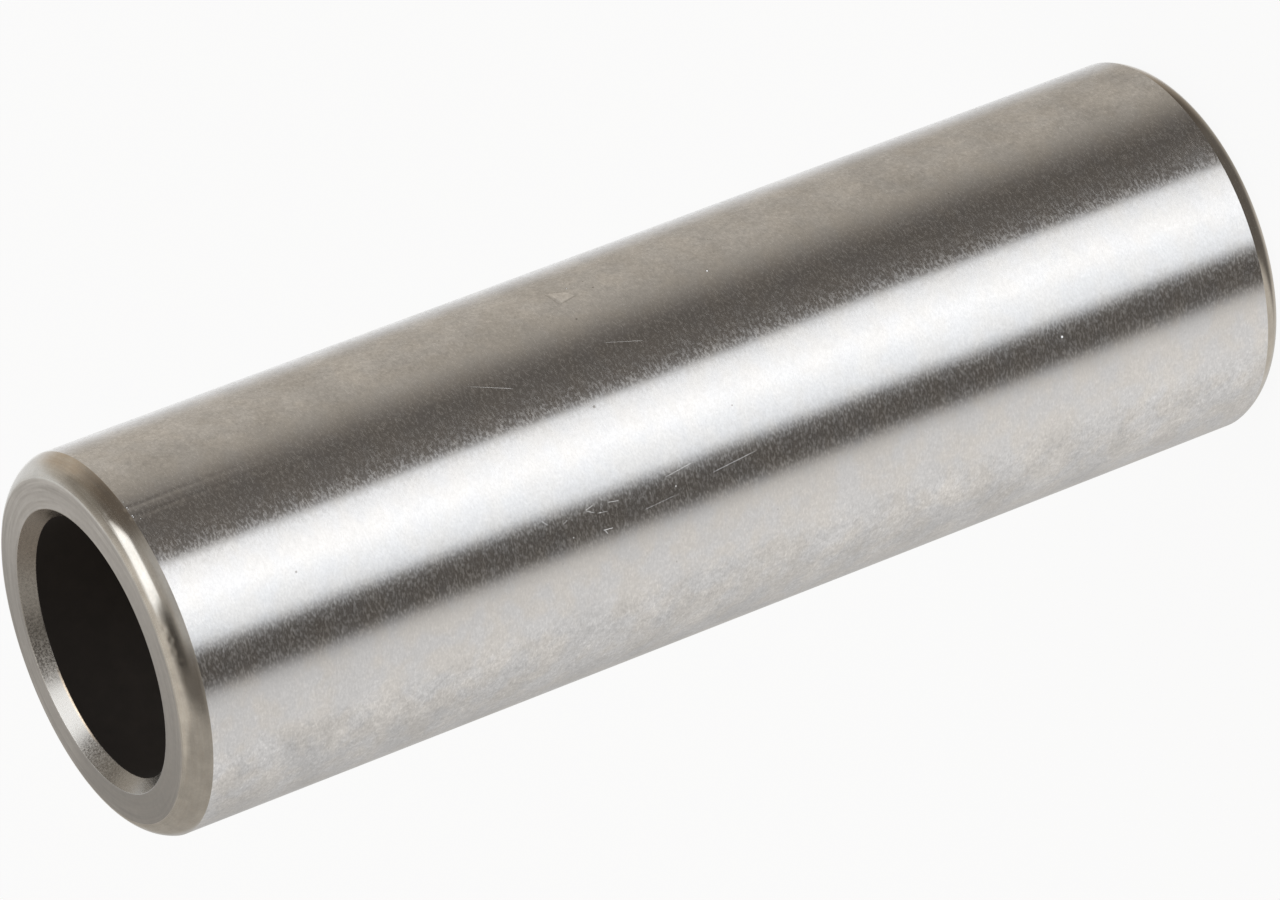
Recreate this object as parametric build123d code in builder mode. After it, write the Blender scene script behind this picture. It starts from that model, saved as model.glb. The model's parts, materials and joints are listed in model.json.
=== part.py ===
from build123d import *
import os

# A tubular gudgeon pin, turned and ground from one length of case-hardened steel bar.
# Sizes are in millimetres. The pin stands on one end face: its axis is +Z and its
# origin is the centre of the lower end face.

# Driving dimensions
outside_diameter = 22.0
pin_length = 71.0
wall_thickness = 3.5

# Rounded outer edge at each end: how far it runs in from the ground diameter, how far
# it runs along the pin, and how far its crowned middle stands proud of a plain bevel.
edge_width = 1.05
edge_length = 1.3
edge_crown = 0.16
# Small blend where the crowned edge runs out into the flat end face
edge_blend = 0.3

# Bevel at each mouth of the bore
mouth_width = 0.65
mouth_depth = 0.8

# Derived sizes
outside_radius = outside_diameter / 2
bore_radius = outside_radius - wall_thickness
face_inner_radius = bore_radius + mouth_width
face_outer_radius = outside_radius - edge_width

# The lower half of the wall section: out from the axis is the sketch's X and up the pin
# is its Y. The crowned edge meets the ground diameter at a crisp corner and blends
# softly into the end face.
mid_height = pin_length / 2
bore_middle = (bore_radius, mid_height)
bore_end = (bore_radius, mouth_depth)
face_inner = (face_inner_radius, 0)
face_outer = (face_outer_radius, 0)
ground_end = (outside_radius, edge_length)
ground_middle = (outside_radius, mid_height)

with BuildPart() as gudgeon_pin:
    with BuildSketch(Plane.XZ) as wall_section:
        with BuildLine() as wall_outline:
            Polyline(ground_middle, ground_end)
            SagittaArc(ground_end, face_outer, edge_crown)
            Polyline(face_outer, face_inner, bore_end, bore_middle, ground_middle)
        make_face()
        face_corner = wall_section.vertices().sort_by_distance(face_outer)[0]
        fillet(face_corner, radius=edge_blend)
        # Both ends are turned alike, so the upper half mirrors the lower one. The
        # sketch's XZ plane faces down its Y, which makes this offset negative.
        mirror(about=Plane.XZ.offset(-mid_height))
    revolve(axis=Axis.Z)

gudgeon_pin.part.label = "gudgeon_pin"

os.makedirs("parts", exist_ok=True)
export_step(gudgeon_pin.part, "parts/gudgeon_pin.step")

print("bore diameter", 2 * bore_radius)
print("flat end face from", 2 * face_inner_radius, "to", 2 * face_outer_radius, "diameter")
print("volume", round(gudgeon_pin.part.volume, 1), "cubic mm")
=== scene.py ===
# %% [markdown]
# # A gudgeon pin, from lathe to studio
#
# A gudgeon pin joins a piston to its connecting rod. It is a thick steel tube: turned and
# bored from bar, hardened, and then ground round the outside until it is smooth enough to
# slide in its bosses. This lesson dresses the plain model of one in the finishes that each
# of those steps leaves behind, and lights it like a product photograph.
#
# The plain model comes first. Everything below is measured from it, so the dressed pin is
# the same size and stands in the same place.

# %% Load the frame
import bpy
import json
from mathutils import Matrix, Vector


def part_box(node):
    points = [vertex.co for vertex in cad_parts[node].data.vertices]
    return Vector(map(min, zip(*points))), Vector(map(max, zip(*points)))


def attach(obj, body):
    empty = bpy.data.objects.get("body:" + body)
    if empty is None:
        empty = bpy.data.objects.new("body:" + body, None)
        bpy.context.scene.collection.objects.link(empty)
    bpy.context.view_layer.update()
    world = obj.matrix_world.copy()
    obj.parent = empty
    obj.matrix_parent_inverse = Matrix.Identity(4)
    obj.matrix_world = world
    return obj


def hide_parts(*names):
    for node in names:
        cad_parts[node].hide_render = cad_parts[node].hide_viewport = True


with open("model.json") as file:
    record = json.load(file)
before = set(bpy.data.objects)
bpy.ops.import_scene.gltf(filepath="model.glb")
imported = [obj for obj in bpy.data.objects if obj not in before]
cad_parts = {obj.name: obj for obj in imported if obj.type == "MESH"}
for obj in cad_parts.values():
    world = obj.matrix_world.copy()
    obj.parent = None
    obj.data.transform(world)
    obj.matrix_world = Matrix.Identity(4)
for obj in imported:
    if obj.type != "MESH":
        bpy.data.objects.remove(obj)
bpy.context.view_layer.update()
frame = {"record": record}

import json
import math
import random

import bpy
from mathutils import Matrix, Vector

MM = 0.001


# %% [markdown]
# The record that travels with the model states its mounts: the ground cylinder that the
# piston bosses hold, and the bore. Their radii and lengths are read from there instead of
# being typed again. What the mounts leave out, such as the width of the rounded edge, is
# named here in metres with the values of the real pin.

# %% Read the pin's sizes
mounts = {mount["name"]: mount["dims"] for mount in frame["record"]["mounts"]}
lowest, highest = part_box("gudgeon_pin")
pin_length = highest[2] - lowest[2]
middle = pin_length / 2
outside_radius = mounts["ground_outside"]["r_mm"] * MM
bore_radius = mounts["through_bore"]["r_mm"] * MM
edge_length = (pin_length - mounts["ground_outside"]["length_mm"] * MM) / 2
mouth_depth = (pin_length - mounts["through_bore"]["length_mm"] * MM) / 2

edge_width = 1.05 * MM
edge_crown = 0.16 * MM
edge_blend = 0.3 * MM
mouth_width = 0.65 * MM

face_outer_radius = outside_radius - edge_width
face_inner_radius = bore_radius + mouth_width
print("outside", 2 * outside_radius / MM, "bore", 2 * bore_radius / MM, "length", pin_length / MM)
print("rounded edge", edge_length / MM, "long, bore bevel", mouth_depth / MM, "deep")

# %% [markdown]
# ## The camera
#
# The camera comes before the looks, because it decides how much detail a surface needs.
# The photograph shows the pin lying across the picture, but a pin is at rest on its end,
# so it is the camera that is tipped over: it looks down at the standing pin and is rolled
# until the pin's upper end points to the lower left of the picture. A long lens from half
# a metre away keeps the two sides of the pin nearly parallel.

# %% Place the camera
picture_width = 1280
sensor_width = 36.0
lens_length = 261.0
camera_distance = 467.4 * MM
camera_above_pin = 181.3 * MM
camera_tilt = math.radians(24.81)
camera_pan = math.radians(0.045)
camera_roll = math.radians(-110.86)


def put_in_scene(name, data):
    """A new object in the scene, which holds a camera or a mesh."""
    thing = bpy.data.objects.new(name, data)
    bpy.context.scene.collection.objects.link(thing)
    return thing


camera_data = bpy.data.cameras.new("camera")
camera_data.lens = lens_length
camera_data.sensor_width = sensor_width
camera_data.clip_start = 0.01
camera_data.clip_end = 20.0
camera = put_in_scene("camera", camera_data)
camera.location = (0, -camera_distance, pin_length + camera_above_pin)
pan = Matrix.Rotation(camera_pan, 3, "Z")
tilt_down = Matrix.Rotation(math.pi / 2 - camera_tilt, 3, "X")
roll = Matrix.Rotation(camera_roll, 3, "Z")
camera.rotation_euler = (pan @ tilt_down @ roll).to_euler()
bpy.context.scene.camera = camera

pixels_per_mm = lens_length / sensor_width * picture_width * MM / camera_distance
print("one millimetre is", round(pixels_per_mm, 1), "pixels")

# %% [markdown]
# ## The turned shape
#
# The plain model could be kept, but its facets would show in a mirror finish, and its
# edges are perfectly sharp. On a real pin every corner is broken a little: a few
# hundredths of a millimetre, just enough to catch a line of light. A bevel modifier could
# break them, but all by the same amount. So the pin is turned again here, as a lathe would
# do it. A section is drawn once, as radius and height, and spun round the axis.
#
# Two helpers draw what is not straight. One is the crowned arc of the rounded edge, given
# by its two ends and how far it bulges. The other is the small round that breaks a corner.
# Both are a fan of points round a centre.

# %% Helpers for drawing the section
def fan(centre, spoke, sweep, steps):
    """Points at the end of a spoke that turns round a centre in even steps."""
    rotations = [Matrix.Rotation(-sweep * step / steps, 2) for step in range(steps + 1)]
    return [centre + rotation @ spoke for rotation in rotations]


def arc_points(start, end, bulge, steps):
    """Points on the arc from start to end whose middle stands bulge proud of the chord."""
    chord = end - start
    half = chord.length / 2
    radius = (half * half + bulge * bulge) / (2 * bulge)
    outward = Vector((-chord.y, chord.x)).normalized()
    centre = (start + end) / 2 - outward * (radius - bulge)
    return fan(centre, start - centre, 2 * math.asin(half / radius), steps)


def soft_corner(before, corner, after, radius, steps):
    """Points on the small round that replaces a corner between two straight runs."""
    to_before = (before - corner).normalized()
    to_after = (after - corner).normalized()
    half_angle = to_before.angle(to_after) / 2
    reach = radius / math.tan(half_angle)
    centre = corner + (to_before + to_after).normalized() * (radius / math.sin(half_angle))
    spoke = corner + to_before * reach - centre
    return fan(centre, spoke, spoke.angle_signed(corner + to_after * reach - centre), steps)


softened = soft_corner(Vector((0, 2)), Vector((0, 0)), Vector((2, 0)), 1, 2)
rounded = [tuple(round(part, 2) for part in point) for point in softened]
print("a square corner softened by 1:", rounded)

# %% [markdown]
# The upper end is drawn first, from the middle of the bore, over the end face, to the
# middle of the ground cylinder. Each straight run gets a guard point close to either end.
# A smooth surface turns its normals only between the last two points before a corner, so
# the guards keep the wide surfaces flat right up to their edges.
#
# Each run of the section has the name of its surface, which later picks its finish. On the
# rounded edge, the blend to the face takes the place of the crown's first three points,
# and the crisp corner at the ground diameter takes the place of its last one.

# %% Draw the section of one end
small_break = 0.05 * MM
crisp_break = 0.025 * MM
guard = 0.04 * MM
crown_steps = 24

bore_middle = Vector((bore_radius, middle))
bore_end = Vector((bore_radius, pin_length - mouth_depth))
face_inner = Vector((face_inner_radius, pin_length))
face_outer = Vector((face_outer_radius, pin_length))
ground_end = Vector((outside_radius, pin_length - edge_length))
ground_middle = Vector((outside_radius, middle))
crown = arc_points(face_outer, ground_end, edge_crown, crown_steps)


def straight(start, end, pieces):
    """A straight run, with a guard point near each end and even pieces between them."""
    inset = (end - start).normalized() * guard
    first, last = start + inset, end - inset
    return [start] + [first.lerp(last, i / pieces) for i in range(pieces + 1)] + [end]


inner_round = soft_corner(bore_middle, bore_end, face_inner, small_break, 4)
mouth_round = soft_corner(bore_end, face_inner, face_outer, small_break, 4)
face_round = soft_corner(face_inner, face_outer, crown[4], edge_blend, 8)
crisp_round = soft_corner(crown[-3], ground_end, ground_middle, crisp_break, 3)

upper_end = [
    ("bore", straight(bore_middle, inner_round[0], 2)),
    ("bevel", inner_round + straight(inner_round[-1], mouth_round[0], 2) + mouth_round),
    ("face", straight(mouth_round[-1], face_round[0], 4)),
    ("edge", face_round + crown[3:-1] + crisp_round),
    ("ground", straight(crisp_round[-1], ground_middle, 6)),
]
for name, run in upper_end:
    print(name, len(run), "points")

# %% [markdown]
# Both ends are alike, so the lower end is the same list mirrored in height and walked the
# other way. Points that fall on each other, where one run hands over to the next, are
# kept once.

# %% Close the section
def mirrored(runs):
    """The same runs at the other end of the pin, in walking order."""
    flipped = []
    for name, run in reversed(runs):
        flipped.append((name, [Vector((p.x, pin_length - p.y)) for p in reversed(run)]))
    return flipped


same_place = 1e-4 * MM
section = []
surface_of = []
for name, run in upper_end + mirrored(upper_end):
    for point in run:
        if not section or (point - section[-1]).length > same_place:
            section.append(point)
            surface_of.append(name)
if (section[0] - section[-1]).length < same_place:
    section.pop()
    surface_of.pop()
print(len(section), "points in the closed section")

# %% [markdown]
# Spinning the closed loop gives the whole skin of the tube, with no open border. Half a
# degree to a step is fine enough for the stripes that a mirror finish shows.

# %% Spin the section
turns = 720
loop = len(section)
finishes = ["ground", "edge", "face", "bevel", "bore"]
vertices = []
faces = []
finish_index = []
for turn in range(turns):
    angle = 2 * math.pi * turn / turns
    vertices += [Vector((p.x * math.cos(angle), p.x * math.sin(angle), p.y)) for p in section]
    here = turn * loop
    there = (turn + 1) % turns * loop
    for i in range(loop):
        j = (i + 1) % loop
        faces.append((here + i, there + i, there + j, here + j))
        finish_index.append(finishes.index(surface_of[j]))
print(2 * len(faces), "triangles")

# %% [markdown]
# The hardened edge of a used or handled pin is never quite perfect: the crown has a few
# shallow nicks. Bump in the finish could draw them, but not in the outline, so they are
# real dents in the mesh. Each is a place, by the angle round the pin and the way along the
# crown, with a size and a depth in millimetres, and every vertex nearby sinks towards the
# wall. The angle round the pin is zero on the camera's side.

# %% Helpers for nicks
def side_at(azimuth):
    """The level direction at an angle round the pin, in degrees from the camera's side."""
    angle = math.radians(azimuth)
    return (math.sin(angle), -math.cos(angle), 0.0)


def on_crown(azimuth, share, upper=True):
    """A point on the rounded edge. share runs from 0 at the face to 1 at the ground end."""
    place = crown[round(share * crown_steps)]
    x, y, _ = side_at(azimuth)
    height = place.y if upper else pin_length - place.y
    return Vector((place.x * x, place.x * y, height))


def dent(centre, size, depth, upper=True):
    """Sinks the vertices within size of centre by up to depth, into the wall."""
    wall = Vector((centre.x, centre.y, 0)).normalized() * (bore_radius + outside_radius) / 2
    wall.z = pin_length - 3 * edge_length if upper else 3 * edge_length
    inward = (wall - centre).normalized()
    for vertex in vertices:
        if abs(vertex.z - centre.z) < size:
            near = 1 - (vertex - centre).length / size
            if near > 0:
                vertex += inward * depth * near * near * (3 - 2 * near)


place = on_crown(0, 0.5)
print("the crown's middle is at", [round(part / MM, 2) for part in place], "mm")

# %% [markdown]
# The nicks that the photograph shows come from a list. The side turned away from it has
# nicks by chance at both ends, always the same ones, because the seed is fixed.

# %% Dent the crown
nicks = [
    # azimuth, share along the crown, size, depth
    (-1.5, 0.30, 0.28, 0.012),
    (-5.0, 0.42, 0.24, 0.015),
    (-8.5, 0.36, 0.30, 0.011),
    (-12.0, 0.55, 0.26, 0.013),
    (32.1, 1.00, 0.20, 0.028),
    (35.8, 1.00, 0.22, 0.028),
    (-37.0, 0.48, 0.50, 0.012),
    (38.0, 0.50, 0.45, 0.010),
]
for azimuth, share, size, depth in nicks:
    dent(on_crown(azimuth, share), size * MM, depth * MM)

chance = random.Random(7)
nicks_by_chance = 14
for upper in (True, False):
    for _ in range(nicks_by_chance):
        azimuth = chance.uniform(100, 260)
        centre = on_crown(azimuth, chance.uniform(0.2, 1.0), upper)
        dent(centre, chance.uniform(0.2, 0.4) * MM, chance.uniform(0.008, 0.024) * MM, upper)
print(len(nicks) + 2 * nicks_by_chance, "nicks")

# %% [markdown]
# The mesh becomes one object. It rides on the pin's own body and stands for the plain model's node,
# which is hidden.

# %% Make the pin
pin_mesh = bpy.data.meshes.new("gudgeon_pin_turned")
pin_mesh.from_pydata(vertices, [], faces)
pin_mesh.polygons.foreach_set("material_index", finish_index)
pin_mesh.polygons.foreach_set("use_smooth", [True] * len(faces))
pin_mesh.update()
pin = put_in_scene("gudgeon_pin_turned", pin_mesh)
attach(pin, "root")
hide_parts("gudgeon_pin")
print(pin.name, "has", len(pin_mesh.vertices), "vertices")

# %% [markdown]
# ## Finishes
#
# Every finish is worked out from the place on the pin, so no picture is wrapped round it
# and there is no seam. The helpers below add one node each, or one small idea made of a
# few nodes, so that a finish reads as a list of what it is made of.

# %% Helpers for nodes
def fill(tree, socket, value):
    """Links a socket to another one, or sets it to a number or a colour."""
    if isinstance(value, bpy.types.NodeSocket):
        tree.links.new(value, socket)
    elif isinstance(value, (tuple, list)) and len(value) != len(socket.default_value):
        socket.default_value = (*value, 1.0)
    else:
        socket.default_value = value


def fill_all(tree, sockets, values):
    """Fills several sockets in order."""
    for socket, value in zip(sockets, values):
        fill(tree, socket, value)


def math_node(tree, operation, *values):
    """A Math node with its inputs filled in order."""
    node = tree.nodes.new("ShaderNodeMath")
    node.operation = operation
    fill_all(tree, node.inputs, values)
    return node.outputs["Value"]


def product(tree, first, second):
    """Two numbers or masks multiplied."""
    return math_node(tree, "MULTIPLY", first, second)


def vector_node(tree, operation, *values, output="Vector"):
    """A Vector Math node with its inputs filled in order."""
    node = tree.nodes.new("ShaderNodeVectorMath")
    node.operation = operation
    fill_all(tree, node.inputs, values)
    return node.outputs[output]


def spread(tree, value, low, high, to_low, to_high, smooth=False):
    """Maps a value from one range to another, held at the ends."""
    node = tree.nodes.new("ShaderNodeMapRange")
    node.interpolation_type = "SMOOTHSTEP" if smooth else "LINEAR"
    fill_all(tree, node.inputs, (value, low, high, to_low, to_high))
    return node.outputs["Result"]


def ramp(tree, share, at_zero, at_one):
    """Goes from one number where a share is 0 to another where it is 1."""
    return spread(tree, share, 0.0, 1.0, at_zero, at_one)


def soft_step(tree, value, low, high):
    """0 below low and 1 above high, with a smooth rise between them."""
    return spread(tree, value, low, high, 0.0, 1.0, smooth=True)


def noise(tree, vector, detail):
    """Smooth noise about one unit across, from 0 to 1 with most of it near 0.5."""
    node = tree.nodes.new("ShaderNodeTexNoise")
    node.inputs["Scale"].default_value = 1.0
    node.inputs["Detail"].default_value = detail
    fill(tree, node.inputs["Vector"], vector)
    return node.outputs["Fac"]


def uneven(tree, blotches, low, high):
    """Goes from low to high over the part of a noise that most of it lies in."""
    return spread(tree, blotches, 0.3, 0.7, low, high)


print("node helpers ready")

# %% [markdown]
# The next helpers work on directions and colours. Both are three numbers to Blender, so
# the same kind of node serves for both.

# %% Helpers for directions and colours
def axes_of(tree, vector):
    """A vector's X to the right, Y away from the camera and Z up."""
    node = tree.nodes.new("ShaderNodeSeparateXYZ")
    tree.links.new(vector, node.inputs[0])
    return node.outputs


def dot(tree, vector, direction):
    """How far a vector reaches along a direction."""
    return vector_node(tree, "DOT_PRODUCT", vector, direction, output="Value")


def facing(tree, direction, azimuth):
    """1 where a direction points to an angle round the pin, and -1 where it points away."""
    return dot(tree, direction, side_at(azimuth))


def angle_round(tree, x, y):
    """The angle round the pin in radians, which is zero on the camera's side."""
    return math_node(tree, "ARCTAN2", x, product(tree, y, -1.0))


def mix_colour(tree, factor, first, second):
    """A mix of two colours, from the first at 0 to the second at 1."""
    node = tree.nodes.new("ShaderNodeMix")
    node.data_type = "RGBA"
    for number, value in ((0, factor), (6, first), (7, second)):
        fill(tree, node.inputs[number], value)
    return node.outputs[2]


def scaled(tree, colour, amount):
    """A colour made lighter or darker by a factor, or a vector made longer or shorter."""
    result = vector_node(tree, "SCALE", colour)
    fill(tree, result.node.inputs["Scale"], amount)
    return result


def varied(tree, colour, swing, depth):
    """A colour made lighter and darker by a swing to both sides of zero, times a depth."""
    return scaled(tree, colour, math_node(tree, "MULTIPLY_ADD", swing, depth, 1.0))


print("the pin's right side faces", [round(part) for part in side_at(90)])

# %% [markdown]
# Two kinds of noise follow the two ways in which the pin was cut. Grinding leaves a grain
# that is a little longer round the cylinder than along it, which is noise cut out of
# solid space and stretched. Turning leaves rings, on the end face as much as on the
# crown. Those follow the section: a place on it is told by its radius less its distance
# from the middle of the pin, which rises steadily over the face and the crown, out to the
# corner where the ground cylinder starts.

# %% Helpers for streaks and rings
def streaks(tree, place, around, along, shift=0.0, detail=2.0):
    """Noise with features this many millimetres long round the pin and along it."""
    node = tree.nodes.new("ShaderNodeMapping")
    fill(tree, node.inputs["Vector"], place)
    node.inputs["Scale"].default_value = (1 / (around * MM), 1 / (around * MM), 1 / (along * MM))
    node.inputs["Location"].default_value = (shift, shift, shift)
    return noise(tree, node.outputs["Vector"], detail)


def from_middle(tree, place):
    """How far up or down a place is from the middle of the pin."""
    offset = math_node(tree, "SUBTRACT", axes_of(tree, place)["Z"], middle)
    return math_node(tree, "ABSOLUTE", offset)


def lathe_place(tree, place):
    """The radius, the direction away from the axis, and the way along the section."""
    flat = vector_node(tree, "MULTIPLY", place, (1, 1, 0))
    radius = vector_node(tree, "LENGTH", flat, output="Value")
    away = vector_node(tree, "NORMALIZE", flat)
    return radius, away, math_node(tree, "SUBTRACT", radius, from_middle(tree, place))


def rings(tree, away, along, size, wander):
    """Noise in rings size millimetres wide. A larger wander breaks them up more."""
    rise = tree.nodes.new("ShaderNodeCombineXYZ")
    tree.links.new(math_node(tree, "DIVIDE", along, size * MM), rise.inputs["Z"])
    spun = vector_node(tree, "MULTIPLY_ADD", away, (wander, wander, wander), rise.outputs["Vector"])
    return noise(tree, spun, detail=3.0)


def specks(tree, place, apart, width):
    """Small round specks, about one to each cube of space this many millimetres wide."""
    node = tree.nodes.new("ShaderNodeTexVoronoi")
    node.inputs["Scale"].default_value = 1 / (apart * MM)
    fill(tree, node.inputs["Vector"], place)
    edge = width / (2 * apart)
    return soft_step(tree, node.outputs["Distance"], edge, edge * 0.3)


print("rings are told from the middle, at", round(middle / MM, 2), "mm")

# %% [markdown]
# Metal has no colour of its own but the tint of its mirror, so every finish is the same
# surface shader with a tint, a roughness and, where it was cut, a lean of the surface.
# Leaning the normal by hand, where a Bump node could do it, says by what angle it leans.

# %% Helpers for finishes
def surface_normal(tree):
    """The direction that the surface faces."""
    return tree.nodes.new("ShaderNodeNewGeometry").outputs["Normal"]


def tilt(tree, shader, towards, amount):
    """Leans the surface towards a direction, by amount times its length."""
    leaning = vector_node(tree, "ADD", surface_normal(tree), scaled(tree, towards, amount))
    tree.links.new(vector_node(tree, "NORMALIZE", leaning), shader.inputs["Normal"])


def empty_material(name):
    """A material, its node tree, and the socket that its surface goes into."""
    material = bpy.data.materials.new(name)
    material.use_nodes = True
    tree = material.node_tree
    tree.nodes.clear()
    return material, tree, tree.nodes.new("ShaderNodeOutputMaterial").inputs["Surface"]


def new_finish(name, metallic=1.0):
    """A material, its node tree and surface shader, and the place on the pin in metres."""
    material, tree, surface = empty_material(name)
    shader = tree.nodes.new("ShaderNodeBsdfPrincipled")
    shader.inputs["Metallic"].default_value = metallic
    tree.links.new(shader.outputs["BSDF"], surface)
    return material, tree, shader, tree.nodes.new("ShaderNodeTexCoord").outputs["Object"]


def paint(tree, shader, colour, roughness):
    """Gives a surface shader its colour and its roughness."""
    fill(tree, shader.inputs["Base Color"], colour)
    fill(tree, shader.inputs["Roughness"], roughness)


def dress(surface, material):
    """Gives one of the pin's surfaces its finish. They come in the order of the list."""
    assert finishes.index(surface) == len(pin_mesh.materials)
    pin_mesh.materials.append(material)
    print(surface, "wears", material.name, "made of", len(material.node_tree.nodes), "nodes")


print("the finishes go on in this order:", finishes)

# %% [markdown]
# ### Marks on the ground surface
#
# A ground surface shows every touch. The pin has a few thin scratches, some pin pricks and a small
# patch that is lighter in colour. Each is placed by its angle round the pin and its height, as it
# would be read off with a dividing head, and becomes a soft-edged mask: the distance to a point, to
# a stretch between two points, or to the sides of a small polygon, measured on the unrolled
# surface. A scratch fades towards its two ends, as one does where the thing that made it touched
# down and lifted off.

# %% Helpers for marks
def unrolled(tree, place):
    """The place on the unrolled cylinder: millimetres round from the camera's side, and up."""
    parts = axes_of(tree, place)
    angle = angle_round(tree, parts["X"], parts["Y"])
    flat = tree.nodes.new("ShaderNodeCombineXYZ")
    tree.links.new(product(tree, angle, outside_radius / MM), flat.inputs["X"])
    tree.links.new(math_node(tree, "DIVIDE", parts["Z"], MM), flat.inputs["Y"])
    return flat.outputs["Vector"]


def unrolled_point(azimuth, height):
    """An angle in degrees and a height in millimetres as a point on the unrolled surface."""
    return (math.radians(azimuth) * outside_radius / MM, height, 0.0)


def stroke(tree, away, width):
    """1 in the middle of a mark, fading to 0 a little more than half its width away."""
    return soft_step(tree, away, width * 0.6, width * 0.2)


def dot_mask(tree, flat, azimuth, height, width):
    """A soft dot this many millimetres wide."""
    away = vector_node(tree, "DISTANCE", flat, unrolled_point(azimuth, height), output="Value")
    return stroke(tree, away, width)


def scratch_mask(tree, flat, start, end, width, strength):
    """A thin line between two points, as strong as given at its middle and 0 at its ends."""
    first = Vector(unrolled_point(*start))
    span = Vector(unrolled_point(*end)) - first
    offset = vector_node(tree, "SUBTRACT", flat, tuple(first))
    share = dot(tree, offset, tuple(span / span.length_squared))
    held = ramp(tree, share, 0.0, 1.0)
    nearest = scaled(tree, tuple(span), held)
    line = stroke(tree, vector_node(tree, "DISTANCE", offset, nearest, output="Value"), width)
    from_ends = product(tree, held, math_node(tree, "SUBTRACT", 1.0, held))
    return product(tree, line, spread(tree, from_ends, 0.0, 0.15, 0.0, strength))


def patch_mask(tree, flat, corners, blur):
    """1 inside a small polygon whose corners go round to the left, fading to 0 at its sides."""
    points = [Vector(unrolled_point(*corner)) for corner in corners]
    inside = 1.0
    for first, second in zip(points, points[1:] + points[:1]):
        span = second - first
        inward = Vector((-span.y, span.x, 0.0)).normalized()
        depth = dot(tree, vector_node(tree, "SUBTRACT", flat, tuple(first)), tuple(inward))
        inside = math_node(tree, "MINIMUM", inside, soft_step(tree, depth, 0.0, blur))
    return inside


def strongest(tree, masks):
    """The largest of several masks."""
    total = masks[0]
    for mask in masks[1:]:
        total = math_node(tree, "MAXIMUM", total, mask)
    return total


print("one degree round the pin is", round(unrolled_point(1, 0)[0], 3), "mm")

# %% [markdown]
# Here are the marks. Angles are in degrees and every other length is in millimetres. The
# light scratches are grooves a few hundredths wide, and the dark ones hold a little dirt.

# %% Scratches and patches
light_scratches = [
    # azimuth and height of both ends, width, strength
    ((34.8, 49.0), (27.6, 46.3), 0.030, 0.32),
    ((32.4, 40.6), (27.5, 38.0), 0.022, 0.27),
    ((-52.3, 53.1), (-59.4, 51.4), 0.040, 0.30),
    ((-18.5, 42.3), (-17.6, 39.9), 0.016, 0.22),
    ((-15.4, 37.7), (-13.8, 34.5), 0.018, 0.20),
    ((-11.7, 40.4), (-10.5, 38.6), 0.016, 0.26),
    ((-20.1, 44.1), (-19.7, 44.8), 0.045, 0.34),
    ((-19.6, 44.7), (-21.4, 44.5), 0.038, 0.30),
    ((-12.4, 45.5), (-11.7, 45.0), 0.024, 0.26),
    ((-12.5, 45.5), (-14.1, 45.0), 0.020, 0.16),
    ((-14.4, 44.9), (-14.9, 44.2), 0.018, 0.18),
    ((-12.5, 44.1), (-13.2, 43.4), 0.024, 0.18),
    ((-10.8, 48.2), (-12.5, 47.9), 0.022, 0.22),
    ((-13.9, 47.0), (-13.1, 46.7), 0.020, 0.20),
]
dark_scratches = [
    # azimuth and height of both ends, width, strength
    ((20.7, 4.8), (16.7, 4.7), 0.08, 0.30),
    ((17.0, 4.7), (15.1, 5.7), 0.08, 0.22),
    ((59.9, 41.0), (56.2, 39.7), 0.09, 0.26),
    ((60.0, 40.9), (51.5, 40.8), 0.09, 0.26),
    ((51.5, 40.8), (53.2, 39.4), 0.09, 0.32),
]
pale_patch_corners = [(51.9, 40.7), (53.2, 39.6), (56.5, 39.8), (59.5, 40.8)]
smudge_corners = [(15.5, 1.4), (22.0, 0.9), (30.0, 1.5), (29.0, 4.2), (19.0, 4.6)]
print(len(light_scratches), "light scratches and", len(dark_scratches), "dark ones")

# %% [markdown]
# A prick is dark where it holds dirt, and light where its wall leans towards the window.
# Which way it leans, and how far, depends on which side of the window it is on.

# %% Pricks
dark_pricks = [
    # azimuth, height, width
    (0.5, 62.7, 0.15),
    (14.3, 42.8, 0.20),
    (0.7, 35.2, 0.11),
    (53.8, 38.4, 0.15),
    (43.3, 40.7, 0.15),
    (58.6, 38.5, 0.10),
    (70.6, 48.3, 0.12),
]
light_pricks = [
    # azimuth, height, width, lean of the wall that catches the window
    (43.1, 32.3, 0.16, -0.78),
    (58.1, 39.6, 0.12, -1.10),
    (36.1, 69.60, 0.09, -0.46),
    (35.5, 69.59, 0.08, -0.44),
    (32.9, 69.62, 0.08, -0.40),
    (32.4, 69.60, 0.07, -0.38),
    (38.4, 69.58, 0.07, -0.48),
    (31.0, 69.30, 0.06, -0.38),
    (-14.5, 44.7, 0.08, 0.17),
    (-14.9, 14.6, 0.14, 0.36),
    (-15.2, 39.9, 0.09, 0.30),
    (-18.6, 46.6, 0.08, 0.30),
]
speck_spacing = 2.2
speck_width = 0.13
print(len(dark_pricks), "dark pricks and", len(light_pricks), "light ones")

# %% [markdown]
# ### Ground steel
#
# What makes steel look ground and not chromed is that its mirror is broken up at a very
# small scale, about a tenth of a millimetre. Here three things do it: the colour is uneven,
# the surface leans a fraction of a degree to either side, and some flecks are rough.
#
# The colour comes first. It is a little uneven from grain to grain, and in broader clouds.
# The pin isn't the same all round: the steel drifts between a warm and a cool grey, and
# the sides where it was held are blotchier than the front.

# %% Colour of the ground steel
warm_steel = (0.622, 0.610, 0.595)
cool_steel = (0.606, 0.610, 0.620)


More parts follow.
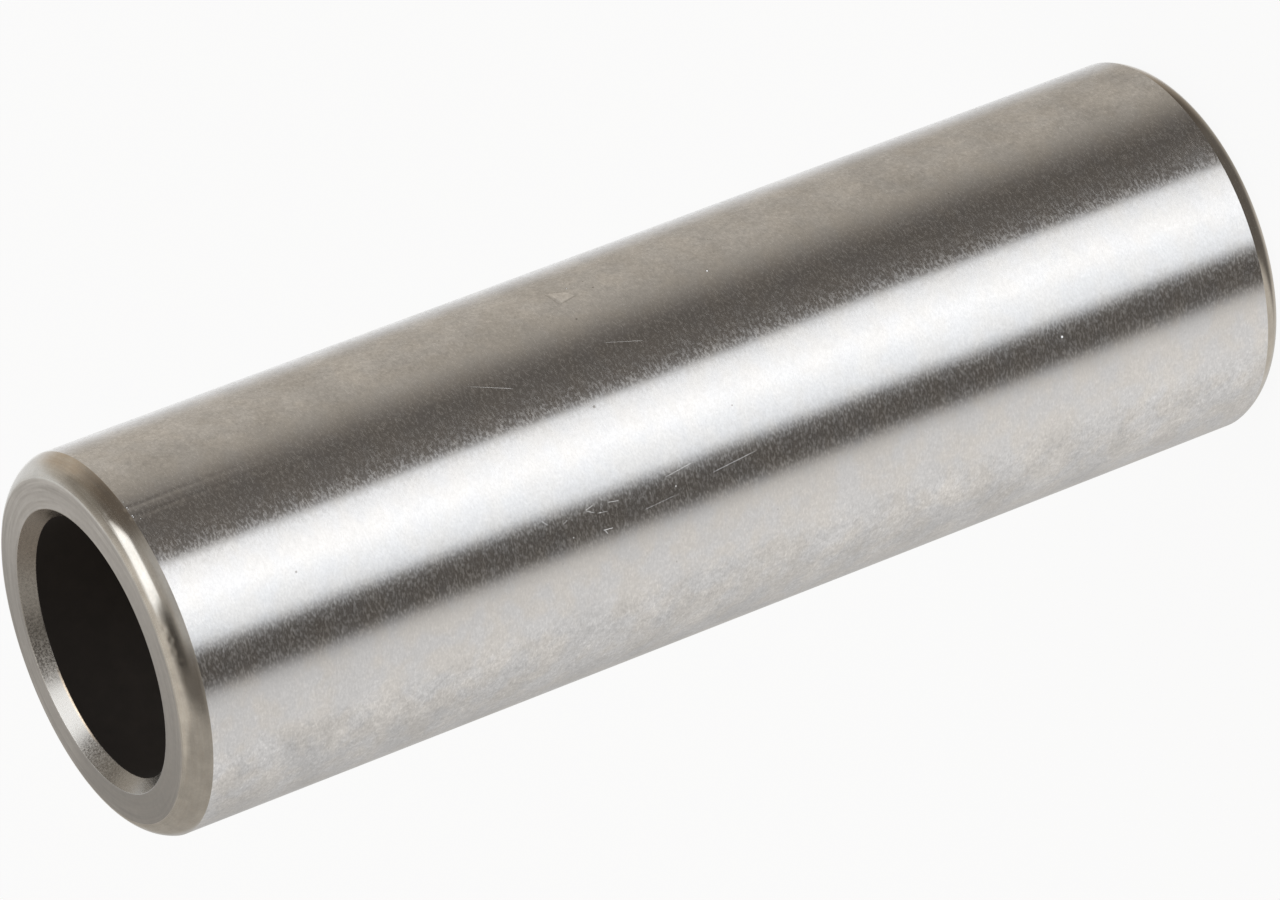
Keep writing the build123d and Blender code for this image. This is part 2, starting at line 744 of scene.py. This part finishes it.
def uneven_steel(tree, place, grain, front, side):
    """The colour of ground steel without its marks."""
    drift = soft_step(tree, streaks(tree, place, 1.8, 1.5, shift=23.0), 0.36, 0.64)
    swing = math_node(tree, "SUBTRACT", drift, 0.5)
    contrast = spread(tree, side, -0.5, -0.1, 1.0, 0.5)
    tinting = math_node(tree, "MULTIPLY_ADD", swing, contrast, 0.5)
    steel = mix_colour(tree, tinting, warm_steel, cool_steel)
    handled = soft_step(tree, front, 0.80, 0.64)
    handled = product(tree, handled, spread(tree, front, -0.5, 0.0, 0.4, 1.0))
    mottle = streaks(tree, place, 0.40, 0.35, shift=17.0)
    clouds = streaks(tree, place, 3.0, 2.6, shift=11.0, detail=3.0)
    for blotches, least, most in ((grain, 0.10, 0.19), (mottle, 0.05, 0.21), (clouds, 0.04, 0.27)):
        depth = ramp(tree, handled, 2 * least, 2 * most)
        steel = varied(tree, steel, math_node(tree, "SUBTRACT", blotches, 0.5), depth)
    return steel


print("the steel drifts from", warm_steel, "to", cool_steel)

# %% [markdown]
# The dark marks and the lighter patch change the colour too. Besides the pricks of the list, there
# are faint ones all over the pin, a couple of millimetres apart.

# %% Dark marks in the colour
dirt_colour = (0.20, 0.18, 0.16)
dirt_in_pricks = 0.7
pale_patch_gain = 1.22
pale_patch_blur = 0.12


def marked(tree, place, flat, steel):
    """A colour with the lighter patch and the marks that hold dirt laid over it."""
    # A small patch is made lighter in colour.
    pale_patch = patch_mask(tree, flat, pale_patch_corners, pale_patch_blur)
    steel = scaled(tree, steel, ramp(tree, pale_patch, 1.0, pale_patch_gain))
    scratched = strongest(tree, [scratch_mask(tree, flat, *mark) for mark in dark_scratches])
    pricks = [dot_mask(tree, flat, *mark) for mark in dark_pricks]
    pricks.append(specks(tree, place, speck_spacing, speck_width))
    pricked = product(tree, strongest(tree, pricks), dirt_in_pricks)
    dirt = math_node(tree, "MAXIMUM", scratched, pricked)
    return mix_colour(tree, dirt, steel, dirt_colour)


print("dirt covers", dirt_in_pricks, "of the metal in a prick")

# %% [markdown]
# Most of the ground steel is nearly a mirror, but some flecks are rough: they throw light
# from a bright stripe into a dark one and fill it with sparkle. The amounts are added up in
# the fourth power of the roughness, which is about how much light a fleck throws wide. The
# flecks are coarser towards the right, a smudge is evenly duller, and a light scratch is a
# rough groove.

# %% Roughness of the ground steel
mirror_roughness = 0.15
fleck_roughness = (0.235, 0.275)
smudge_roughness = 0.21
smudge_blur = 1.2
groove_roughness = 1.2


def ground_roughness(tree, flat, open_grain, grooves, side):
    """The roughness of a mirror with open grain in it, a smudge and grooves."""
    left, right = [roughness ** 4 for roughness in fleck_roughness]
    roughest = spread(tree, side, -0.2, 0.35, left, right)
    haze = math_node(tree, "MULTIPLY_ADD", open_grain, roughest, mirror_roughness ** 4)
    smudged = patch_mask(tree, flat, smudge_corners, smudge_blur)
    haze = math_node(tree, "MULTIPLY_ADD", smudged, smudge_roughness ** 4, haze)
    rough = math_node(tree, "POWER", haze, 1 / 4)
    return math_node(tree, "MAXIMUM", rough, product(tree, grooves, groove_roughness))


print("roughness from", mirror_roughness, "to", fleck_roughness, "in the flecks")

# %% [markdown]
# The lean feathers the edges of the stripes, and slow waves of it bend them a little. It
# also makes the light marks. The window is in front, so on the right side of the pin the
# wall of a scratch leans to the left, on the left side it leans to the right, and a light
# prick is a tiny dent that does the same.

# %% Lean of the ground steel
wave_lean = 0.008
groove_lean = 1.1


def ground_lean(tree, place, flat, grain, grooves, side):
    """How far the surface leans round the pin, as the tangent of the angle."""
    swing = math_node(tree, "SUBTRACT", grain, 0.5)
    grain_lean = spread(tree, side, -0.2, 0.1, 0.018, 0.010)
    waves = ramp(tree, streaks(tree, place, 6.0, 4.0, shift=31.0), -wave_lean, wave_lean)
    lean = math_node(tree, "MULTIPLY_ADD", swing, grain_lean, waves)
    inwards = spread(tree, side, -0.1, 0.1, groove_lean, -groove_lean)
    lean = math_node(tree, "MULTIPLY_ADD", grooves, inwards, lean)
    for azimuth, height, width, amount in light_pricks:
        dent_mask = dot_mask(tree, flat, azimuth, height, width)
        lean = math_node(tree, "MULTIPLY_ADD", dent_mask, amount, lean)
    return lean


deepest = max(mark[-1] for mark in light_scratches)
steepest = math.degrees(math.atan(deepest * groove_lean))
print("the wall of the deepest scratch leans by", round(steepest), "degrees")

# %% [markdown]
# The finish puts the three together. Its front and side say how squarely a place faces the
# camera's side and the right. The flecks are longer round the pin than along it, the way
# the grinding wheel ran. A fleck is a touch lighter too, which makes up for the light it
# loses inside a bright stripe, so the stripe itself stays calm.

# %% Ground steel
def ground_steel():
    """Steel ground to a satin mirror, with its touch marks."""
    material, tree, shader, place = new_finish("ground_steel")
    normal = surface_normal(tree)
    front = facing(tree, normal, 0)
    side = facing(tree, normal, 90)
    flat = unrolled(tree, place)
    grain = streaks(tree, place, 0.19, 0.12, detail=1.0)
    flecks = streaks(tree, place, 0.25, 0.12, shift=5.0, detail=1.0)
    open_grain = spread(tree, flecks, 0.455, 0.735, 0.0, 1.0)
    grooves = strongest(tree, [scratch_mask(tree, flat, *mark) for mark in light_scratches])

    steel = uneven_steel(tree, place, grain, front, side)
    steel = scaled(tree, steel, ramp(tree, open_grain, 0.965, 1.11))
    rough = ground_roughness(tree, flat, open_grain, grooves, side)
    paint(tree, shader, marked(tree, place, flat, steel), rough)
    sideways = vector_node(tree, "CROSS_PRODUCT", (0, 0, 1), normal)
    tilt(tree, shader, sideways, ground_lean(tree, place, flat, grain, grooves, side))
    return material


dress("ground", ground_steel())

# %% [markdown]
# ### Turned edge
#
# The rounded edge is turned and then polished with a strip of cloth while the pin spins,
# so it is smoother than the face it grows out of, and the blend between the two gets
# smoother step by step. It keeps fine rings, deeper on one side, and a faint smoky stain.
# Hardening leaves a straw colour on it that grinding never reached, and one stretch near
# the ground corner has more of it.
#
# How far a place lies along the edge is told by the same reading that places the rings.

# %% Turned edge
edge_steel = (0.648, 0.629, 0.588)
straw = (0.90, 0.82, 0.74)
straw_side = 58
bright_side = -160
edge_start = face_outer_radius - middle
edge_stop = outside_radius - (middle - edge_length)
ring_lean = 0.012


def turned_edge():
    """Polished turned steel with fine rings and a straw tint in places."""
    material, tree, shader, place = new_finish("turned_edge")
    _, away, along = lathe_place(tree, place)
    share = spread(tree, along, edge_start, edge_stop, 0.0, 1.0)
    ring = rings(tree, away, along, 0.14, 2.0)
    swing = uneven(tree, ring, -1.0, 1.0)
    depth = spread(tree, facing(tree, away, bright_side), 0.3, 0.9, 0.04, 0.16)
    steel = varied(tree, edge_steel, swing, depth)
    smoke = streaks(tree, place, 1.1, 0.7, shift=7.0, detail=3.0)
    steel = scaled(tree, steel, uneven(tree, smoke, 0.90, 1.07))
    sand = streaks(tree, place, 0.16, 0.13, shift=3.0, detail=1.0)
    steel = scaled(tree, steel, uneven(tree, sand, 0.97, 1.03))

    streaky = rings(tree, away, along, 0.25, 9.0)
    thin_straw = product(tree, soft_step(tree, streaky, 0.45, 0.75), 0.2)
    full_straw = soft_step(tree, facing(tree, away, straw_side), 0.82, 0.96)
    for fade in (soft_step(tree, share, 0.25, 0.65), spread(tree, streaky, 0.3, 0.6, 0.6, 1.0)):
        full_straw = product(tree, full_straw, fade)
    tint = math_node(tree, "MAXIMUM", thin_straw, full_straw)
    steel = mix_colour(tree, tint, steel, vector_node(tree, "MULTIPLY", steel, straw))

    polish = spread(tree, share, -0.04, 0.18, 0.34, 0.15, smooth=True)
    rough = math_node(tree, "ADD", polish, uneven(tree, ring, -0.03, 0.05))
    paint(tree, shader, steel, rough)
    tilt(tree, shader, away, product(tree, swing, ring_lean))
    return material


dress("edge", turned_edge())

# %% [markdown]
# ### Turned face
#
# The end face is turned flat and left like that. The tool leaves rings, which scatter the light, so
# the face looks evenly grey and not like a mirror. The rings are deepest near the rim, where the
# tool moved in. One side of the face has painted shade and is a little darker. A narrow sector has
# a painted highlight, and another one has painted shade.

# %% Turned face
face_steel = (0.565, 0.548, 0.526)
face_light_side = 80
rim_rings = 9.2 * MM
rim_blend = 0.3 * MM
painted_face_sectors = [
    # azimuth, how much lighter
    (-161, 0.17),
    (153, -0.09),
]
tool_lean = 0.04


def turned_face():
    """Flat turned steel with rings, with painted shade on one side and painted light and shade in
    two sectors.
    """
    material, tree, shader, place = new_finish("turned_face")
    radius, away, along = lathe_place(tree, place)
    ring = rings(tree, away, along, 0.18, 2.0)
    swing = spread(tree, ring, 0.25, 0.75, -1.0, 1.0)
    near_rim = soft_step(tree, radius, rim_rings - rim_blend, rim_rings + rim_blend)
    steel = varied(tree, face_steel, swing, ramp(tree, near_rim, 0.11, 0.22))
    mottle = streaks(tree, place, 0.35, 0.35, detail=3.0)
    steel = scaled(tree, steel, ramp(tree, mottle, 0.90, 1.10))
    # Painted shade: one side of the face is made darker, and the opposite side a little lighter.
    painted_side_shade = spread(tree, facing(tree, away, face_light_side), -1.0, 1.0, 0.71, 1.09)
    steel = scaled(tree, steel, painted_side_shade)
    # Painted highlight and painted shade: two narrow sectors are made lighter and darker, where the
    # turning rings would throw the light.
    for azimuth, gain in painted_face_sectors:
        ahead = facing(tree, away, azimuth)
        painted_sector_light = spread(tree, ahead, 0.93, 0.995, 1.0, 1.0 + gain, smooth=True)
        steel = scaled(tree, steel, painted_sector_light)
    paint(tree, shader, steel, uneven(tree, ring, 0.30, 0.40))
    tilt(tree, shader, away, product(tree, swing, tool_lean))
    return material


dress("face", turned_face())

# %% [markdown]
# ### Bored bevel
#
# The bevel at the mouth of the bore is cut by a single tool edge and has a fine sandy grain that
# makes its highlight glitter. One side is stained brown. On another side a painted highlight makes
# the bevel bright, and a painted warm line of light lies along the thin lip at the bore there.

# %% Bored bevel
bevel_steel = (0.430, 0.418, 0.397)
stain_brown = (0.345, 0.312, 0.279)
painted_highlight_steel = (0.630, 0.620, 0.600)
painted_lip_light = (0.84, 0.72, 0.58)
stained_side = 105


def bored_bevel():
    """Cut steel with a sandy grain, stained brown on one side, with a painted highlight and a
    painted warm lip line on another.
    """
    material, tree, shader, place = new_finish("bored_bevel")
    radius, away, _ = lathe_place(tree, place)
    stain = soft_step(tree, facing(tree, away, stained_side), 0.75, 0.97)
    steel = mix_colour(tree, stain, bevel_steel, stain_brown)
    # Painted highlight: the bevel is made lighter on its bright side.
    ahead = facing(tree, away, bright_side)
    steel = mix_colour(tree, soft_step(tree, ahead, 0.78, 0.92), steel, painted_highlight_steel)
    sand = streaks(tree, place, 0.11, 0.11, detail=1.0)
    steel = scaled(tree, steel, uneven(tree, sand, 0.82, 1.18))
    # Painted highlight: a warm line of light along the lip at the bore, on the bright side.
    lip = soft_step(tree, radius, bore_radius + 0.10 * MM, bore_radius + 0.04 * MM)
    lip = product(tree, lip, soft_step(tree, ahead, 0.93, 0.985))
    steel = mix_colour(tree, lip, steel, painted_lip_light)
    paint(tree, shader, steel, uneven(tree, sand, 0.20, 0.36))
    return material


dress("bevel", bored_bevel())

# %% [markdown]
# ### Dark bore
#
# Nothing grinds the bore after hardening, so it keeps the dark brown scale of the furnace.
# Scale isn't metal: it is a thin dull crust, so its shader isn't metallic. It is darkest at the
# mouths, and painted light makes its colour paler further in, standing in for light on the deeper
# wall.

# %% Dark bore
light_scale = (0.050, 0.043, 0.038)
dark_scale = (0.032, 0.028, 0.026)
scale_roughness = 0.75
painted_light_depth = 5.5 * MM
painted_light_gain = 2.1


def dark_bore():
    """Dull brown furnace scale."""
    material, tree, shader, place = new_finish("dark_bore", metallic=0.0)
    grime = streaks(tree, place, 1.0, 1.0, detail=3.0)
    scale = mix_colour(tree, grime, light_scale, dark_scale)
    height = from_middle(tree, place)
    # Painted light: the scale's colour is made paler away from the mouths.
    painted_light = spread(tree, height, middle - mouth_depth, middle - painted_light_depth, 1.0, painted_light_gain)
    paint(tree, shader, scaled(tree, scale, painted_light), scale_roughness)
    return material


dress("bore", dark_bore())

# %% [markdown]
# ## The studio
#
# A polished cylinder has no look of its own: it shows a squeezed picture of the room. Lamps
# would show as small hard spots in it, so the room is painted on the world, by direction.
# Two angles name a direction: the angle round the pin, which is zero towards the camera,
# and the height above the horizon. Every light in the room is a plain level with a tint.

# %% Start the room
white = (1.0, 1.0, 1.0)
cool = (0.985, 1.0, 1.015)
pale = (1.03, 1.0, 0.965)
soft_warm = (1.08, 1.0, 0.90)
warm = (1.10, 1.0, 0.87)
brown = (1.12, 1.0, 0.885)


def lit(level, tint):
    """A tint as bright as a level says."""
    return tuple(level * part for part in tint)


world = bpy.data.worlds.new("studio")
bpy.context.scene.world = world
world.use_nodes = True
tree = world.node_tree
tree.nodes.clear()
direction = tree.nodes.new("ShaderNodeTexCoord").outputs["Generated"]
parts = axes_of(tree, direction)
round_pin = math_node(tree, "DEGREES", angle_round(tree, parts["X"], parts["Y"]))
height = math_node(tree, "DEGREES", math_node(tree, "ARCSINE", parts["Z"]))
print("a cool light of level 2 is", lit(2, cool))

# %% [markdown]
# Level with the pin the room is a ring of bands: a bright window in front, a dark gap on
# either side of it, a light wall to the left and a warm grey one to the right. They make
# the long stripes on the ground cylinder, and every stripe's angle on the pin is half of
# its angle in the room. A band fades into the next one, so two that are close together
# make a crisp edge.

# %% Bands level with the pin
low_bands = [
    # angle round the pin, level, tint
    (-180, 0.66, pale),
    (-165, 0.52, pale),
    (-130, 0.72, pale),
    (-84, 0.95, pale),
    (-58, 0.90, pale),
    (-50, 0.74, pale),
    (-42, 0.115, brown),
    (-30, 0.105, brown),
    (-23, 0.12, brown),
    (-15.5, 1.30, cool),
    (-2, 1.50, cool),
    (8, 1.72, white),
    (21, 1.48, white),
    (30.6, 1.38, white),
    (32.9, 0.16, brown),
    (48, 0.15, brown),
    (62, 0.13, brown),
    (70, 0.19, brown),
    (88, 0.44, warm),
    (112, 0.53, warm),
    (138, 0.52, warm),
    (150, 0.70, pale),
    (164, 0.95, white),
    (172, 1.06, white),
    (180, 0.66, pale),
]


def ring_of_bands(tree, degrees, bands):
    """Colours by angle round the pin, from -180 to 180 degrees."""
    node = tree.nodes.new("ShaderNodeValToRGB")
    tree.links.new(math_node(tree, "MULTIPLY_ADD", degrees, 1 / 360, 0.5), node.inputs["Fac"])
    elements = node.color_ramp.elements
    elements.remove(elements[1])
    for i, (angle, level, tint) in enumerate(bands):
        place = (angle + 180) / 360
        element = elements[0] if i == 0 else elements.new(place)
        element.position = place
        element.color = (*lit(level, tint), 1.0)
    return node.outputs["Color"]


bands = ring_of_bands(tree, round_pin, low_bands)
to_side = spread(tree, parts["X"], -0.3, 0.3, -1.0, 1.0)
rise = spread(tree, height, -31.0, -19.0, -0.10, 0.10)
bands = varied(tree, bands, to_side, rise)
print(len(low_bands), "bands")

# %% [markdown]
# Above the horizon the rounded edge mirrors the ceiling. Two helpers build it: a panel
# stands between two angles round the pin and two heights, and a light hangs level over the
# pin, as a photographer's soft box does.

# %% Helpers for the ceiling
def inside_of(tree, aside, half, soft):
    """1 up to a half width from the middle, fading to 0 over a soft border."""
    return soft_step(tree, aside, half + soft / 2, half - soft / 2)


def panel(tree, room, degrees, height, across, up, soft, level, tint):
    """Lays a soft-edged panel over the room. across and up are (from, to) in degrees."""
    offset = math_node(tree, "SUBTRACT", degrees, sum(across) / 2)
    aside = math_node(tree, "ABSOLUTE", math_node(tree, "WRAP", offset, 180.0, -180.0))
    mask = inside_of(tree, aside, (across[1] - across[0]) / 2, soft)
    risen = soft_step(tree, height, up[0] - soft / 2, up[0] + soft / 2)
    below_top = soft_step(tree, height, up[1] + soft / 2, up[1] - soft / 2)
    mask = product(tree, mask, product(tree, risen, below_top))
    return mix_colour(tree, mask, room, lit(level, tint))


def hung_light(tree, room, direction, turn, centre, half, soft, level, tint):
    """Hangs a flat light level over the pin and turns it by an angle in degrees. Its centre
    and its half sizes, to the right and away from the camera, are in times its height."""
    risen = math_node(tree, "MAXIMUM", axes_of(tree, direction)["Z"], 0.05)
    place = vector_node(tree, "DIVIDE", direction, risen)
    offset = vector_node(tree, "SUBTRACT", place, (*centre, 0.0))
    mask = 1.0
    for azimuth, reach in zip((turn + 90, turn + 180), half):
        aside = math_node(tree, "ABSOLUTE", facing(tree, offset, azimuth))
        mask = product(tree, mask, inside_of(tree, aside, reach, soft))
    return mix_colour(tree, mask, room, lit(level, tint))


print("the room has", len(tree.nodes), "nodes so far")

# %% [markdown]
# A small bright light hung level over the pin gives the rounded edge the shining line along
# its crown. Dark screens stand on both sides of that light, a tall light panel behind to
# the right, and a large dim light hangs overhead.

# %% Paint the ceiling
high_panels = [
    # across, up, softness, level, tint
    ((96, 131), (22, 52), 10, 0.27, warm),
    ((115, 150), (-16, 20), 20, 0.55, warm),
    ((145, 176), (-14, 58), 16, 0.80, white),
    ((-20, 42), (0, 30), 22, 0.52, pale),
    ((-58, -18), (10, 64), 22, 0.15, brown),
    ((-35, 10), (38, 63), 16, 0.08, brown),
    ((52, 103), (0, 50), 26, 0.15, brown),
]
# turn, centre, half sizes, softness, level, tint
large_dim_light = (0, (-0.14, 0.19), (0.60, 0.48), 0.30, 0.63, soft_warm)
small_bright_light = (18.5, (0.58, -0.38), (0.425, 0.318), 0.12, 1.65, white)

above_bands = soft_step(tree, height, -14.0, -7.0)
room = mix_colour(tree, above_bands, bands, lit(0.40, soft_warm))
room = hung_light(tree, room, direction, *large_dim_light)
for high_panel in high_panels:
    room = panel(tree, room, round_pin, height, *high_panel)
room = hung_light(tree, room, direction, *small_bright_light)
print(len(high_panels), "panels and 2 hung lights")

# %% [markdown]
# Far below the horizon only the edge at the lower end looks. It finds a floor that is light
# on the left, dark on the right and dim at the back. With that the room is complete. It has
# no small strong lamp, so the rays find its light by themselves, and it isn't sampled as a
# lamp of its own.

# %% Paint the floor and finish the room
light_floor = lit(0.58, soft_warm)
dark_floor = lit(0.13, brown)
dim_floor = lit(0.33, warm)
front_right = soft_step(tree, parts["X"], -0.40, -0.26)
rear_right = soft_step(tree, parts["X"], -0.05, 0.09)
to_rear = soft_step(tree, parts["Y"], 0.20, 0.60)
front_floor = mix_colour(tree, front_right, light_floor, dark_floor)
rear_floor = mix_colour(tree, rear_right, light_floor, dim_floor)
floor = mix_colour(tree, to_rear, front_floor, rear_floor)
room = mix_colour(tree, soft_step(tree, height, -36.0, -50.0), room, floor)

background = tree.nodes.new("ShaderNodeBackground")
tree.links.new(room, background.inputs["Color"])
output = tree.nodes.new("ShaderNodeOutputWorld")
tree.links.new(background.outputs["Background"], output.inputs["Surface"])
world.cycles.sampling_method = "NONE"
print("the whole room has", len(tree.nodes), "nodes")

# %% [markdown]
# ## The table and the backdrop
#
# The pin stands on a plain white table in front of a plain white backdrop. White paint
# under soft light comes out grey, and more light would burn out the steel, so most of the
# white is the surfaces' own: what looks at them straight finds a plain white of strength
# one, and a small share of ordinary paint keeps the soft shadow where the pin stands.

# %% White paint for the stage
white_share = 0.92
paint_colour = (0.95, 0.95, 0.95)


def stage_white():
    """Matt white paint that is mostly its own plain white when it is looked at."""
    material, tree, surface = empty_material("stage_white")
    matt = tree.nodes.new("ShaderNodeBsdfDiffuse")
    fill(tree, matt.inputs["Color"], paint_colour)
    glow = tree.nodes.new("ShaderNodeEmission")
    path = tree.nodes.new("ShaderNodeLightPath")
    rays = ("Is Camera Ray", "Is Glossy Ray", "Is Transmission Ray")
    seen = strongest(tree, [path.outputs[ray] for ray in rays])
    blend = tree.nodes.new("ShaderNodeMixShader")
    tree.links.new(product(tree, seen, white_share), blend.inputs[0])
    tree.links.new(matt.outputs["BSDF"], blend.inputs[1])
    tree.links.new(glow.outputs["Emission"], blend.inputs[2])
    tree.links.new(blend.outputs["Shader"], surface)
    return material


white_paint = stage_white()
print(white_paint.name, "is", white_share, "its own white")

# %% [markdown]
# The table is one round plate, and the backdrop is the wall of a drum that stands on its
# rim, so the stage looks the same from every side.
#
# The steel must mirror the painted room and not the table, or its stripes would be lost in
# white. So the table and the backdrop are left out of its mirror, and the backdrop, which
# is only there to be seen, is left out of the light as well.

# %% Lay the table and raise the backdrop
stage_radius = 2.4
backdrop_height = 2.5
stage_sides = 96


def stage_piece(name, points, polygons):
    """A piece of the stage, which isn't part of the pin."""
    mesh = bpy.data.meshes.new(name)
    mesh.from_pydata(points, [], polygons)
    mesh.materials.append(white_paint)
    piece = put_in_scene(name, mesh)
    piece.visible_glossy = False
    print(name, "reaches", stage_radius, "m from the pin")
    return piece


round_stage = [2 * math.pi * i / stage_sides for i in range(stage_sides)]
rim = [Vector((math.cos(angle), math.sin(angle), 0)) * stage_radius for angle in round_stage]
raised = [point + Vector((0, 0, backdrop_height)) for point in rim]
panels = []
for i in range(stage_sides):
    j = (i + 1) % stage_sides
    panels.append((i, j, j + stage_sides, i + stage_sides))
stage_piece("table", rim, [tuple(range(stage_sides))])
backdrop = stage_piece("backdrop", rim + raised, panels)
backdrop.visible_diffuse = False
backdrop.visible_shadow = False

# %% [markdown]
# ## Colours
#
# The picture shows colours as they are, with no film look.

# %% Colour management
bpy.context.scene.view_settings.view_transform = "Standard"
